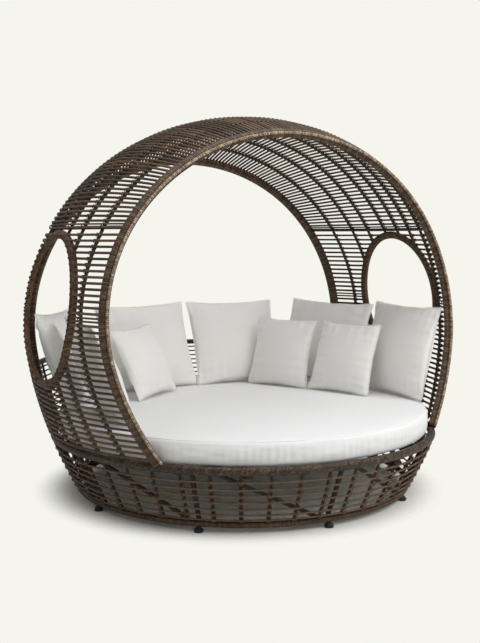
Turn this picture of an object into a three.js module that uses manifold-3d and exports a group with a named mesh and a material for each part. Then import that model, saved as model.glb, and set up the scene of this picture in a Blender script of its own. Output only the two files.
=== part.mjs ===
// Round outdoor daybed under a woven canopy. Millimetres, +Z up, front towards -Y.
// Left and right are as seen from the front, so left is -X.
// The woven surface is one rounded shell: a basket below the seat and a hooped canopy above it.
import * as THREE from "three";
import { mergeVertices } from "three/addons/utils/BufferGeometryUtils.js";
import Module from "manifold-3d";

const wasm = await Module();
wasm.setup();

// Gap kept between pieces that touch, and between the strands and the ribs behind them
const seatGap = 0.3;
const ribGap = 0.6;

// Rounded shell that the outside of the weave follows
const shellRadius = 1150;
const widestHeight = 861;
const crownRise = 1102;
const lowerReach = 1581;
const crownRoundShare = 2.03;
const lowerRoundShare = 1.667;

// Front and back edges of the canopy: distance from the middle at the widest height, lean and bow
const frontSetback = 552;
const frontLeanShare = 0.135;
const frontBowShare = -0.125;
const backSetback = 556;
const backLeanShare = 0.0675;
const backBowShare = 0.0251;

// Woven strands
const strandSize = 9;
const strandWidth = 11;
const rowPitch = 81;
const firstRowRise = 35;
const bandWidth = 22;
const wovenRibWidth = 14;
const wovenRibPlaceShares = [0.122, 0.255, 0.375, 0.49, 0.625, 0.74, 0.87];

// Frame tubes, and the wound bead that edges the canopy in front of each arch
const archDiameter = 28;
const beadDiameter = 28;
const beadSetback = 10;
const rimDiameter = 40;
const rimHeight = 317;
const footRingDiameter = 30;
const uprightDiameter = 24;
const braceDiameter = 20;
const crossTubeDiameter = 18;
const crossTubeHeight = 1394;

// Side windows: an oval from the panel under it to the cross tube over it, with a flattened tube round it
const lowerPanelHeight = 237;
const lowerPanelClearance = 33;
const crossTubeClearance = 15;
const windowHalfWidth = 301;
const windowTubeWidth = 44;
const windowTubeDepth = 28;
const windowProud = 6;

// Low woven back between the legs of the back arch
const backRailHeight = 654;
const backRailDiameter = 30;
const backRowPitch = 72;

// Basket below the seat
const basketRodCount = 46;
const basketRingPlaceShares = [0.137, 0.23, 0.335, 0.46, 0.577, 0.69, 0.818];
const braceInset = 28;
const braceSetback = 16;

// Levelling feet
const footCount = 9;
const firstFootTurnDegrees = -94;
const footHeight = 25;
const footPadRadius = 22;
const footPadThickness = 13;
const footNeckRadius = 10;
const studRadius = 4;
const studReach = 18;
const studHoleClearance = 0.6;

// Deck under the mattress, its joists and outer slats placed in shares of its radius
const joistPlaceShare = 0.485;
const outerSlatPlaceShare = 0.768;
const joistWidth = 30;
const joistDepth = 44;
const slatWidth = 60;
const slatThickness = 12;
const slatCount = 9;

// Mattress
const mattressInset = 39.4;
const mattressThickness = 124;
const mattressCrown = 8;
const mattressEdge = 24;
const mattressDraw = 7;

// Cushions: widths in shares of the mattress radius, heights and thicknesses in shares of the width
const largeWidthShare = 0.585;
const smallWidthShare = 0.4141;
const largeHeightShare = 0.905;
const smallHeightShare = 0.985;
const largeThicknessShare = 0.276;
const smallThicknessShare = 0.3;
const cushionDrawShare = 0.055;

// A six-sided bead inside its round outline
const beadRoundShare = 0.93;

// Facet counts
const archFacets = 6;
const tubeFacets = 6;
const sideSteps = 6;
const topSteps = 12;
const rodSteps = 2;
const strandSteps = 5;
const windowSteps = 24;
const footFacets = 8;
const mattressFacets = 30;
const cushionCells = 8;
const settleSteps = 6;

const ribInnerDepth = 2 * strandSize + ribGap;
const archDepth = strandSize + ribGap + archDiameter / 2;
const bandInset = beadSetback + beadDiameter / 2 + seatGap + bandWidth / 2;
const rimTop = rimHeight + rimDiameter / 2;
const rimBottom = rimHeight - rimDiameter / 2;
const footRingHeight = footHeight + footRingDiameter / 2;
const windowTubeRise = windowTubeDepth / 2 - windowProud;
const lowerPanelTop = rimTop + lowerPanelHeight;
const windowTubeBottom = lowerPanelTop + lowerPanelClearance;
const windowTubeOuter = (crossTubeHeight - crossTubeClearance - windowTubeBottom) / 2;
const windowHeight = windowTubeBottom + windowTubeOuter;
const windowHalfHeight = windowTubeOuter - windowTubeWidth;
const mattressRadius = shellRadiusAt(rimHeight) - mattressInset;
const wicker = { color: 0x5b4637, roughness: 0.78, metalness: 0 };
const lightWicker = { color: 0x7a6149, roughness: 0.75, metalness: 0 };
const frameMetal = { color: 0x2e2621, roughness: 0.55, metalness: 0.3 };
const canvas = { color: 0xecebe8, roughness: 0.95, metalness: 0 };
const glide = { color: 0x161616, roughness: 0.6, metalness: 0 };

const daybed = new THREE.Group();

function addPiece(name, geometry, look, parent = daybed) {
  const mesh = new THREE.Mesh(geometry, new THREE.MeshStandardMaterial(look));
  mesh.name = name;
  parent.add(mesh);
  return mesh;
}

// Joining and cutting

function toSolid(geometry) {
  const bare = geometry.clone();
  bare.deleteAttribute("normal");
  bare.deleteAttribute("uv");
  const merged = mergeVertices(bare);
  return new wasm.Manifold(
    new wasm.Mesh({
      numProp: 3,
      vertProperties: Float32Array.from(merged.attributes.position.array),
      triVerts: Uint32Array.from(merged.index.array),
    }),
  );
}

function toGeometry(solid) {
  const mesh = solid.getMesh();
  const geometry = new THREE.BufferGeometry();
  geometry.setAttribute("position", new THREE.BufferAttribute(mesh.vertProperties, 3));
  geometry.setIndex(new THREE.BufferAttribute(mesh.triVerts, 1));
  const loose = geometry.toNonIndexed();
  loose.computeVertexNormals();
  return loose;
}

function joined(solids) {
  return solids.reduce((all, next) => all.add(next));
}

// A block as wide as the whole part, lying above or below a height
function slabAbove(height) {
  const block = new THREE.BoxGeometry(4 * shellRadius, 4 * shellRadius, 4 * shellRadius);
  block.translate(0, 0, height + 2 * shellRadius);
  return toSolid(block);
}

function slabBelow(height) {
  const block = new THREE.BoxGeometry(4 * shellRadius, 4 * shellRadius, 4 * shellRadius);
  block.translate(0, 0, height - 2 * shellRadius);
  return toSolid(block);
}

// The shell

function lerp(from, to, share) {
  return from + (to - from) * share;
}

function shellRadiusAt(height) {
  const above = height > widestHeight;
  const share = Math.abs(height - widestHeight) / (above ? crownRise : lowerReach);
  const round = above ? crownRoundShare : lowerRoundShare;
  return shellRadius * (1 - Math.min(share, 1) ** round) ** (1 / round);
}

function shellNormal(point) {
  const above = point.z > widestHeight;
  const round = above ? crownRoundShare : lowerRoundShare;
  const reach = above ? crownRise : lowerReach;
  const radius = Math.max(Math.hypot(point.x, point.y), Number.EPSILON);
  const side = (radius / shellRadius) ** (round - 1) / shellRadius;
  const rise = (Math.abs(point.z - widestHeight) / reach) ** (round - 1) / reach;
  const normal = new THREE.Vector3(point.x, point.y, 0).multiplyScalar(side / radius);
  normal.z = above ? rise : -rise;
  return normal.normalize();
}

function levelNormal(point) {
  return new THREE.Vector3(point.x, point.y, 0).normalize();
}

function frontEdgeAt(height) {
  const rise = height - widestHeight;
  return -(frontSetback - frontLeanShare * rise - (frontBowShare * rise ** 2) / shellRadius);
}

function backEdgeAt(height) {
  const rise = height - widestHeight;
  return backSetback + backLeanShare * rise + (backBowShare * rise ** 2) / shellRadius;
}

// A place on the canopy. Climb is 0 on the crown, 1 and -1 at the cross tubes, 2 and -2 at the seat ring.
// Share is 0 at the front edge and 1 at the back edge, both moved in by inset.
function canopyPoint(climb, share, inset) {
  const side = Math.sign(climb);
  const depthAt = (height) =>
    lerp(frontEdgeAt(height) + inset, backEdgeAt(height) - inset, share);
  if (Math.abs(climb) >= 1) {
    const height = lerp(crossTubeHeight, rimHeight, Math.abs(climb) - 1);
    const y = depthAt(height);
    return new THREE.Vector3(side * Math.sqrt(shellRadiusAt(height) ** 2 - y ** 2), y, height);
  }
  const shoulder = canopyPoint(1, share, inset);
  const shoulderTurn = Math.atan2(shoulder.z - widestHeight, shoulder.x);
  const turn = lerp(Math.PI / 2, shoulderTurn, Math.abs(climb));
  const low = new THREE.Vector3();
  const high = new THREE.Vector3(side * Math.cos(turn), 0, Math.sin(turn));
  const way = high.clone();
  high.multiplyScalar(2 * shellRadius);
  for (let step = 0; step < 50; step += 1) {
    const middle = low.clone().add(high).multiplyScalar(1 / 2);
    const height = widestHeight + middle.z;
    const inside = Math.hypot(middle.x, depthAt(height)) < shellRadiusAt(height);
    (inside ? low : high).copy(middle);
  }
  const height = widestHeight + low.dot(way) * way.z;
  return new THREE.Vector3(low.x, depthAt(height), height);
}

function climbAtHeight(height) {
  return 1 + (crossTubeHeight - height) / (crossTubeHeight - rimHeight);
}

// A path with the section's own X kept square to the shell
class ShellPath extends THREE.Curve {
  constructor(place, normalAt) {
    super();
    this.place = place;
    this.normalAt = normalAt;
  }

  getPoint(share, target = new THREE.Vector3()) {
    return target.copy(this.place(share));
  }

  getPointAt(share, target) {
    return this.getPoint(share, target);
  }

  computeFrenetFrames(steps) {
    const frames = { tangents: [], normals: [], binormals: [] };
    const reach = 1 / 1000;
    for (let step = 0; step <= steps; step += 1) {
      const share = step / steps;
      const tangent = this.place(share + reach).sub(this.place(share - reach)).normalize();
      const normal = this.normalAt(this.place(share));
      normal.addScaledVector(tangent, -normal.dot(tangent)).normalize();
      frames.tangents.push(tangent);
      frames.normals.push(normal);
      frames.binormals.push(tangent.clone().cross(normal));
    }
    return frames;
  }
}

// Sections: X points out of the shell, so a piece that lies under the surface has negative X

function polygonSection(depth, halfDepth, halfWidth, facets, flatOut = false) {
  const turnStart = flatOut ? Math.PI / facets : 0;
  const stretch = 1 / Math.cos(Math.PI / facets);
  const points = [];
  for (let corner = 0; corner < facets; corner += 1) {
    const turn = turnStart + (corner / facets) * 2 * Math.PI;
    points.push(
      new THREE.Vector2(
        -depth + halfDepth * stretch * Math.cos(turn),
        halfWidth * stretch * Math.sin(turn),
      ),
    );
  }
  return new THREE.Shape(points);
}

function flatSection(depth, thickness, width) {
  return new THREE.Shape([
    new THREE.Vector2(-depth - thickness, -width / 2),
    new THREE.Vector2(-depth, -width / 2),
    new THREE.Vector2(-depth, width / 2),
    new THREE.Vector2(-depth - thickness, width / 2),
  ]);
}

// A rib has its flat side against the strands in front of it
function ribSection(width) {
  return new THREE.Shape([
    new THREE.Vector2(-strandSize - ribGap - strandSize, 0),
    new THREE.Vector2(-strandSize - ribGap, -width / 2),
    new THREE.Vector2(-strandSize - ribGap, width / 2),
  ]);
}

function strandSection(width) {
  return new THREE.Shape([
    new THREE.Vector2(seatGap - strandSize, -width / 2),
    new THREE.Vector2(-seatGap, 0),
    new THREE.Vector2(seatGap - strandSize, width / 2),
  ]);
}

function sweep(section, place, normalAt, steps) {
  return new THREE.ExtrudeGeometry(section, {
    steps,
    bevelEnabled: false,
    extrudePath: new ShellPath(place, normalAt),
  });
}

// A sweep whose path closes on itself: its two end caps are left off and the seam is merged
function closedSweep(section, place, normalAt, steps) {
  const whole = sweep(section, place, normalAt, steps);
  const sides = whole.groups[1];
  const positions = whole.attributes.position.array.slice(
    3 * sides.start,
    3 * (sides.start + sides.count),
  );
  const geometry = new THREE.BufferGeometry();
  geometry.setAttribute("position", new THREE.BufferAttribute(positions, 3));
  const merged = mergeVertices(geometry, seatGap / 100);
  merged.computeVertexNormals();
  return merged;
}

function levelRing(section, height, depth, steps) {
  const radius = shellRadiusAt(height) - depth;
  const place = (share) => {
    const turn = 2 * Math.PI * share - Math.PI / 2;
    return new THREE.Vector3(radius * Math.cos(turn), radius * Math.sin(turn), height);
  };
  return closedSweep(section, place, levelNormal, steps);
}

// Arches: a tube under each edge band of the canopy and a bead before it, standing on the seat ring

const allSteps = 2 * sideSteps + topSteps;

// The arch is cut into equal steps on its sides and equal steps over its top
function stepClimb(step) {
  if (step < sideSteps) return 2 - step / sideSteps;
  if (step > sideSteps + topSteps) return -1 - (step - sideSteps - topSteps) / sideSteps;
  return 1 - (2 * (step - sideSteps)) / topSteps;
}

function climbBetween(firstStep, lastStep, share) {
  const step = lerp(firstStep, lastStep, share);
  const below = Math.min(Math.max(Math.floor(step), 0), allSteps - 1);
  return lerp(stepClimb(below), stepClimb(below + 1), step - below);
}

function arch(edgeShare) {
  const section = polygonSection(archDepth, archDiameter / 2, archDiameter / 2, archFacets, true);
  const place = (share) => canopyPoint(climbBetween(0, allSteps, share), edgeShare, bandInset);
  const tube = toSolid(sweep(section, place, shellNormal, allSteps));
  return toGeometry(tube.subtract(slabBelow(rimTop + seatGap)));
}

function bead(edgeShare) {
  const radius = beadDiameter / 2;
  const section = polygonSection(beadSetback, radius * beadRoundShare, radius * beadRoundShare, tubeFacets);
  const place = (share) => canopyPoint(climbBetween(0, allSteps, share), edgeShare, beadSetback);
  const tube = toSolid(sweep(section, place, shellNormal, allSteps));
  return toGeometry(tube.subtract(slabBelow(rimTop + seatGap)));
}

// Side windows

function windowPlace(side) {
  return (share) => {
    const turn = 2 * Math.PI * share;
    const y = (windowHalfWidth + windowTubeWidth / 2) * Math.cos(turn);
    const height = windowHeight + (windowHalfHeight + windowTubeWidth / 2) * Math.sin(turn);
    const x = side * Math.sqrt(shellRadiusAt(height) ** 2 - y ** 2);
    return new THREE.Vector3(x, side * y, height);
  };
}

function windowTube(side, growth) {
  const section = polygonSection(
    windowTubeRise,
    windowTubeDepth / 2 + growth,
    windowTubeWidth / 2 + growth,
    tubeFacets,
  );
  return toSolid(closedSweep(section, windowPlace(side), shellNormal, windowSteps));
}

// A plug through the window as wide as the middle of its tube
function windowPlug(side) {
  const outline = new THREE.Shape();
  const halfWidth = windowHalfWidth + windowTubeWidth / 2;
  const halfHeight = windowHalfHeight + windowTubeWidth / 2;
  outline.absellipse(0, 0, halfWidth, halfHeight, 0, 2 * Math.PI, false, 0);
  const plug = new THREE.ExtrudeGeometry(outline, {
    depth: shellRadius,
    bevelEnabled: false,
    curveSegments: windowSteps / 2,
  });
  plug.rotateX(Math.PI / 2);
  plug.rotateZ(Math.PI / 2);
  plug.translate(side > 0 ? shellRadius / 4 : (-5 * shellRadius) / 4, 0, windowHeight);
  return toSolid(plug);
}

const windowPlugs = new Map([
  [1, windowPlug(1)],
  [-1, windowPlug(-1)],
]);

// The space that the strands beside a window keep clear of
const windowCuts = new Map([
  [1, windowPlugs.get(1).add(windowTube(1, seatGap))],
  [-1, windowPlugs.get(-1).add(windowTube(-1, seatGap))],
]);

// Woven rows of the canopy, from front band to back band

function rowStrand(climb, fromShare, toShare, width = strandWidth) {
  const place = (share) => canopyPoint(climb, lerp(fromShare, toShare, share), bandInset);
  const steps = Math.round(strandSteps * Math.abs(toShare - fromShare));
  return toSolid(sweep(strandSection(width), place, shellNormal, steps));
}

function edgeBand(firstStep, lastStep, edgeShare) {
  const section = flatSection(0, strandSize, bandWidth);
  const trim = (seatGap * topSteps) / (2 * crownRise);
  const place = (share) =>
    canopyPoint(
      climbBetween(firstStep + trim, lastStep - trim, share),
      edgeShare,
      bandInset,
    );
  return toSolid(sweep(section, place, shellNormal, lastStep - firstStep));
}

// Row places, as climbs on the right side: those below, beside and above the window, and over the crown
const firstRowHeight = rimTop + firstRowRise;
const sideRowCount = Math.floor((crossTubeHeight - firstRowHeight) / rowPitch);
const sideRowHeights = Array.from({ length: sideRowCount + 1 }, (_, row) => firstRowHeight + row * rowPitch);
const lowerRowHeights = sideRowHeights.filter((height) => height < windowHeight - windowTubeOuter);
const besideRowHeights = sideRowHeights.filter(
  (height) =>
    height > windowHeight - windowTubeOuter &&
    height < windowHeight + windowTubeOuter - strandWidth,
);
const topRowCount = 2 * Math.floor((crownRise + rowPitch) / rowPitch) + 1;
const topRowClimbs = Array.from(
  { length: topRowCount },
  (_, row) => (2 * (row - (topRowCount - 1) / 2)) / topRowCount,
);
const lowerStep = Math.ceil((sideSteps * (lowerPanelTop - rimHeight)) / (crossTubeHeight - rimHeight));
const crownStep = topSteps / 3;

function panel(firstStep, lastStep, rows) {
  const bands = [edgeBand(firstStep, lastStep, 0), edgeBand(firstStep, lastStep, 1)];
  return joined([...bands, ...rows]);
}

function lowerPanel(side) {
  const rows = lowerRowHeights.map((height) => rowStrand(side * climbAtHeight(height), 0, 1));
  const steps = side > 0 ? [0, lowerStep] : [allSteps - lowerStep, allSteps];
  return toGeometry(
    panel(steps[0], steps[1], rows)
      .subtract(slabBelow(rimTop + seatGap))
      .subtract(slabAbove(lowerPanelTop - seatGap / 2)),
  );
}

// The half of the part behind its middle plane when end is 1, before it when end is -1
function halfBlock(end) {
  const block = new THREE.BoxGeometry(4 * shellRadius, 4 * shellRadius, 4 * shellRadius);
  block.translate(0, 2 * end * shellRadius, 0);
  return toSolid(block);
}

// The window cuts the rows off, so each comb runs past the middle and is trimmed there
function besidePanel(side, edgeShare) {
  const lastShare = (edgeShare ? 2 : 3) / strandSteps;
  const rows = besideRowHeights.map((height) =>
    rowStrand(side * climbAtHeight(height), edgeShare, lastShare),
  );
  const steps =
    side > 0 ? [lowerStep - 1, sideSteps] : [allSteps - sideSteps, allSteps - lowerStep + 1];
  const comb = joined([edgeBand(steps[0], steps[1], edgeShare), ...rows])
    .subtract(windowCuts.get(side))
    .subtract(halfBlock(edgeShare ? -1 : 1))
    .subtract(slabBelow(lowerPanelTop + seatGap / 2));
  return toGeometry(comb);
}

function topPanel(firstStep, lastStep) {
  const from = stepClimb(firstStep);
  const to = stepClimb(lastStep);
  const half = strandWidth / crownRise;
  const rows = topRowClimbs
    .filter((climb) => climb < from - half && climb > to + half)
    .map((climb) => rowStrand(climb, 0, 1));
  return toGeometry(panel(firstStep, lastStep, rows));
}

// Long ribs from side to side inside the rows, and the cross tube over each window

function wovenRib(placeShare, firstStep, lastStep, trim = [0, 0]) {
  const section = ribSection(wovenRibWidth);
  // The rows are straight between their bends, so a rib between two bends lies a little deeper
  const place = (share) => {
    const climb = climbBetween(firstStep + trim[0], lastStep - trim[1], share);
    const bend = placeShare * strandSteps;
    const before = canopyPoint(climb, Math.floor(bend) / strandSteps, bandInset);
    const after = canopyPoint(climb, Math.ceil(bend) / strandSteps, bandInset);
    return before.lerp(after, bend - Math.floor(bend));
  };
  return toSolid(sweep(section, place, shellNormal, lastStep - firstStep));
}

function crossesWindow(placeShare) {
  const y = canopyPoint(climbAtHeight(windowHeight), placeShare, bandInset).y;
  return Math.abs(y) < windowHalfWidth + windowTubeWidth / 2;
}

function crossTube(side) {
  const section = polygonSection(
    ribInnerDepth + crossTubeDiameter / 4,
    crossTubeDiameter / 2,
    crossTubeDiameter / 2,
    tubeFacets,
  );
  const inset = bandInset + archDiameter / 2 + seatGap + crossTubeDiameter / 4;
  const place = (share) => canopyPoint(side, share, inset);
  return toSolid(sweep(section, place, shellNormal, tubeFacets));
}

// The ribs over the top, with the cut ones reaching down to the windows
function ribCage() {
  const aboveWindow = sideSteps / 2;
  const full = wovenRibPlaceShares.filter((share) => !crossesWindow(share));
  const cut = wovenRibPlaceShares.filter((share) => crossesWindow(share));
  const ribs = [
    ...full.map((share) => wovenRib(share, sideSteps, allSteps - sideSteps)),
    ...cut.map((share) => wovenRib(share, aboveWindow, allSteps - aboveWindow)),
  ];
  return joined([crossTube(1), crossTube(-1), ...ribs])
    .subtract(slabBelow(windowHeight))
    .subtract(windowCuts.get(1))
    .subtract(windowCuts.get(-1));
}

// The ribs beside a window, from the seat ring up to the cross tube
function sideRib(side, placeShare) {
  const stepHeight = (crossTubeHeight - rimHeight) / sideSteps;
  const trim = (crossTubeDiameter / 2 + 2 * seatGap) / stepHeight;
  const rib =
    side > 0
      ? wovenRib(placeShare, 0, sideSteps, [0, trim])
      : wovenRib(placeShare, allSteps - sideSteps, allSteps, [trim, 0]);
  return toGeometry(rib.subtract(slabBelow(rimTop + seatGap)).subtract(windowCuts.get(side)));
}

function windowRing(side) {
  const belowWindow = sideSteps;
  const stubs = wovenRibPlaceShares
    .filter((share) => crossesWindow(share))
    .map((share) =>
      side > 0 ? wovenRib(share, 0, belowWindow) : wovenRib(share, allSteps - belowWindow, allSteps),
    );
  const trimmed = joined(stubs)
    .subtract(slabBelow(rimTop + seatGap))
    .subtract(windowPlugs.get(side))
    .subtract(slabAbove(windowHeight));
  return toGeometry(windowTube(side, 0).add(trimmed));
}

// Basket

// Rods are straight between their bends, and the rings and rows in front follow them
function rodRadiusAt(height, fromHeight, toHeight) {
  const step = (rodSteps * (height - fromHeight)) / (toHeight - fromHeight);
  const below = Math.min(Math.max(Math.floor(step), 0), rodSteps - 1);
  const [low, high] = [below, below + 1].map((stop) =>
    shellRadiusAt(lerp(fromHeight, toHeight, stop / rodSteps)),
  );
  return lerp(low, high, step - below);
}

function rodPlace(turn, fromHeight, toHeight) {
  return (share) => {
    const height = lerp(fromHeight, toHeight, share);
    const radius = shellRadiusAt(height);
    return new THREE.Vector3(radius * Math.cos(turn), radius * Math.sin(turn), height);
  };
}

const rodPitch = (2 * Math.PI) / basketRodCount;
const footTurns = Array.from(
  { length: footCount },
  (_, foot) => THREE.MathUtils.degToRad(firstFootTurnDegrees) + (foot * 2 * Math.PI) / footCount,
);
const footRingRadius = shellRadiusAt(footRingHeight) - footRingDiameter / 2;

function basketCage() {
  const ring = levelRing(
    polygonSection(0, footRingDiameter / 2, footRingDiameter / 2, tubeFacets),
    footRingHeight,
    footRingDiameter / 2,
    basketRodCount,
  );
  const rodSection = ribSection(strandWidth);
  const rods = Array.from({ length: basketRodCount }, (_, rod) =>
    toSolid(
      sweep(rodSection, rodPlace(rod * rodPitch - Math.PI / 2, footRingHeight, rimHeight), shellNormal, rodSteps),
    ),
  );
  const uprightDepth = ribInnerDepth + uprightDiameter / 2;
  const uprightSection = polygonSection(
    uprightDepth,
    uprightDiameter / 2,
    uprightDiameter / 2,
    tubeFacets,
  );
  const uprights = footTurns.map((turn) =>
    toSolid(sweep(uprightSection, rodPlace(turn, footRingHeight, rimHeight), shellNormal, rodSteps)),
  );
  const holes = footTurns.map((turn) => {
    const radius = studRadius + studHoleClearance;
    const hole = new THREE.CylinderGeometry(radius, radius, 2 * (studReach + seatGap), footFacets);
    hole.rotateX(Math.PI / 2);
    hole.translate(footRingRadius * Math.cos(turn), footRingRadius * Math.sin(turn), footHeight);
    return toSolid(hole);
  });
  return toGeometry(
    joined([toSolid(ring), ...rods, ...uprights])
      .subtract(slabAbove(rimBottom - seatGap))
      .subtract(joined(holes)),
  );
}

function basketRing(placeShare) {
  const height = lerp(footHeight, rimHeight, placeShare);
  const section = new THREE.Shape([
    new THREE.Vector2(-strandSize, -strandSize / 2),
    new THREE.Vector2(0, 0),
    new THREE.Vector2(-strandSize, strandSize / 2),
  ]);
  const radius = rodRadiusAt(height, footRingHeight, rimHeight);
  const place = (share) => {
    const turn = 2 * Math.PI * share - Math.PI / 2;
    return new THREE.Vector3(radius * Math.cos(turn), radius * Math.sin(turn), height);
  };
  return closedSweep(section, place, shellNormal, basketRodCount);
}

function brace(foot) {
  const from = footTurns[foot];
  const to = footTurns[(foot + footCount - 1) % footCount];
  const span = 2 * Math.PI / footCount;
  const lowRadius = footRingRadius - braceSetback;
  const highRadius = shellRadiusAt(rimBottom) - rimDiameter;
  const lowTurn = from - braceInset / lowRadius;
  const highTurn = from - span + (2 * braceInset) / highRadius;
  const low = new THREE.Vector3(
    lowRadius * Math.cos(lowTurn),
    lowRadius * Math.sin(lowTurn),
    footRingHeight,
  );
  const high = new THREE.Vector3(
    highRadius * Math.cos(highTurn),
    highRadius * Math.sin(highTurn),
    rimHeight,
  );
  const tube = new THREE.ExtrudeGeometry(
    polygonSection(0, braceDiameter / 2, braceDiameter / 2, tubeFacets),
    { steps: 1, bevelEnabled: false, extrudePath: new THREE.LineCurve3(low, high) },
  );
  const top = footRingHeight + footRingDiameter / 2 + seatGap;
  return toGeometry(
    toSolid(tube).subtract(slabBelow(top)).subtract(slabAbove(rimBottom - seatGap)),
  );
}

// Foot: a threaded stud with a round pad
function footGeometry() {
  const profile = [
    new THREE.Vector2(0, 0),
    new THREE.Vector2(footPadRadius, 0),
    new THREE.Vector2(footPadRadius, footPadThickness),
    new THREE.Vector2(footNeckRadius, footHeight - seatGap),
    new THREE.Vector2(studRadius, footHeight - seatGap),
    new THREE.Vector2(studRadius, footHeight + studReach),
    new THREE.Vector2(0, footHeight + studReach),
  ];
  const geometry = new THREE.LatheGeometry(profile, footFacets);
  geometry.rotateX(Math.PI / 2);
  return geometry;
}

// Deck: slats on two joists, all ending at the inside of the seat ring
function deck() {
  const slatTop = rimTop - seatGap - mattressDraw;
  const joistTop = slatTop - slatThickness;
  const overlap = slatThickness / 4;
  const ringInside =
    shellRadiusAt(rimHeight) - rimDiameter / 2 - rimDiameter / 2 / Math.cos(Math.PI / tubeFacets);
  const joists = [-1, 1].map((side) => {
    const bar = new THREE.BoxGeometry(joistWidth, 2 * shellRadius, joistDepth);
    bar.translate(side * joistPlaceShare * ringInside, 0, joistTop - joistDepth / 2 + overlap);
    return toSolid(bar);
  });
  const slats = Array.from({ length: slatCount }, (_, slat) => {
    const bar = new THREE.BoxGeometry(2 * shellRadius, slatWidth, slatThickness);
    const place = ((2 * slat) / (slatCount - 1) - 1) * outerSlatPlaceShare * ringInside;
    bar.translate(0, place, slatTop - slatThickness / 2);
    return toSolid(bar);
  });
  const inside = new THREE.CylinderGeometry(
    ringInside - seatGap,
    ringInside - seatGap,
    shellRadius,
    basketRodCount,
  );
  inside.rotateX(Math.PI / 2);
  inside.translate(0, 0, rimHeight);
  return toGeometry(joined([...joists, ...slats]).intersect(toSolid(inside)));
}

// Low back

const backLegStep = (sideSteps * (crossTubeHeight - backRailHeight)) / (crossTubeHeight - rimHeight);

function backTurnAt(height) {
  const y = backEdgeAt(height) + seatGap + strandSize;
  return Math.asin(y / shellRadiusAt(height));
}

const backRodTurns = Array.from(
  { length: basketRodCount },
  (_, rod) => rod * rodPitch - Math.PI / 2,
).filter((turn) => turn > backTurnAt(rimTop) && turn < Math.PI - backTurnAt(rimTop));

// A level piece between the legs of the back arch that bends at every rod
function backLevel(section, height) {
  const stops = [backTurnAt(height), ...backRodTurns, Math.PI - backTurnAt(height)];
  const place = (share) => {
    const stop = share * (stops.length - 1);
    const below = Math.min(Math.max(Math.floor(stop), 0), stops.length - 2);
    const turn = lerp(stops[below], stops[below + 1], stop - below);
    const radius = rodRadiusAt(height, rimHeight, backRailHeight);
    return new THREE.Vector3(radius * Math.cos(turn), radius * Math.sin(turn), height);
  };
  return toSolid(sweep(section, place, shellNormal, stops.length - 1));
}

function backRail() {
  const tube = backLevel(
    polygonSection(backRailDiameter / 2, backRailDiameter / 2, backRailDiameter / 2, tubeFacets),
    backRailHeight,
  );
  const rodSection = ribSection(strandWidth);
  const rods = backRodTurns.map((turn) =>
    toSolid(sweep(rodSection, rodPlace(turn, rimHeight, backRailHeight), shellNormal, rodSteps)),
  );
  return toGeometry(joined([tube, ...rods]).subtract(slabBelow(rimTop + seatGap)));
}

function backRows() {
  const count = Math.floor((backRailHeight - backRailDiameter - rimTop) / backRowPitch);
  const lowest = rimTop + backRowPitch / 2;
  const rows = Array.from({ length: count }, (_, row) =>
    backLevel(strandSection(strandWidth), lowest + row * backRowPitch),
  );
  const posts = [0, 1].map((end) => {
    const place = (share) => {
      const height = lerp(rimHeight, backRailHeight - backRailDiameter / 2 - seatGap, share);
      const start = backTurnAt(height) + strandSize / shellRadius;
      const turn = end ? Math.PI - start : start;
      const radius = shellRadiusAt(height);
      return new THREE.Vector3(radius * Math.cos(turn), radius * Math.sin(turn), height);
    };
    return toSolid(sweep(flatSection(0, strandSize, strandWidth), place, shellNormal, rodSteps));
  });
  return toGeometry(
    joined([...posts, ...rows])
      .subtract(slabBelow(rimTop + seatGap))
      .subtract(slabAbove(backRailHeight - backRailDiameter / 2 - 2 * seatGap)),
  );
}

// Mattress: a round boxed cushion with a soft crown and sides drawn in at the seams

const mattressBottom = rimTop - mattressDraw;
const mattressShoulder = mattressBottom + mattressThickness - mattressCrown;

const mattressStopShares = [0, 1 / 3, 2 / 3, 5 / 6, 1];

function mattressCrownAt(share) {
  return mattressShoulder + mattressCrown * (1 - share ** 4);
}

// The top is straight between the stops of its profile
function mattressTopAt(radius) {
  const share = Math.min(radius / (mattressRadius - mattressEdge), 1);
  const next = Math.max(mattressStopShares.findIndex((stop) => stop >= share), 1);
  const [low, high] = [mattressStopShares[next - 1], mattressStopShares[next]];
  return lerp(mattressCrownAt(low), mattressCrownAt(high), (share - low) / (high - low));
}

function mattressGeometry() {
  const top = mattressStopShares.map(
    (share) => new THREE.Vector2(share * (mattressRadius - mattressEdge), mattressCrownAt(share)),
  );
  const profile = [
    new THREE.Vector2(0, mattressBottom),
    new THREE.Vector2(mattressRadius - mattressEdge, mattressBottom),
    new THREE.Vector2(mattressRadius - mattressDraw, mattressBottom + mattressEdge / 2),
    new THREE.Vector2(mattressRadius, mattressBottom + mattressThickness / 3),
    new THREE.Vector2(mattressRadius, mattressBottom + (2 * mattressThickness) / 3),
    new THREE.Vector2(mattressRadius - mattressDraw, mattressShoulder - mattressEdge / 2),
    ...top.reverse(),
  ];
  const geometry = new THREE.LatheGeometry(profile, mattressFacets);
  geometry.rotateX(Math.PI / 2);
  return geometry;
}

// Cushions: square, crowned, with sides drawn in between pointed corners

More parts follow.
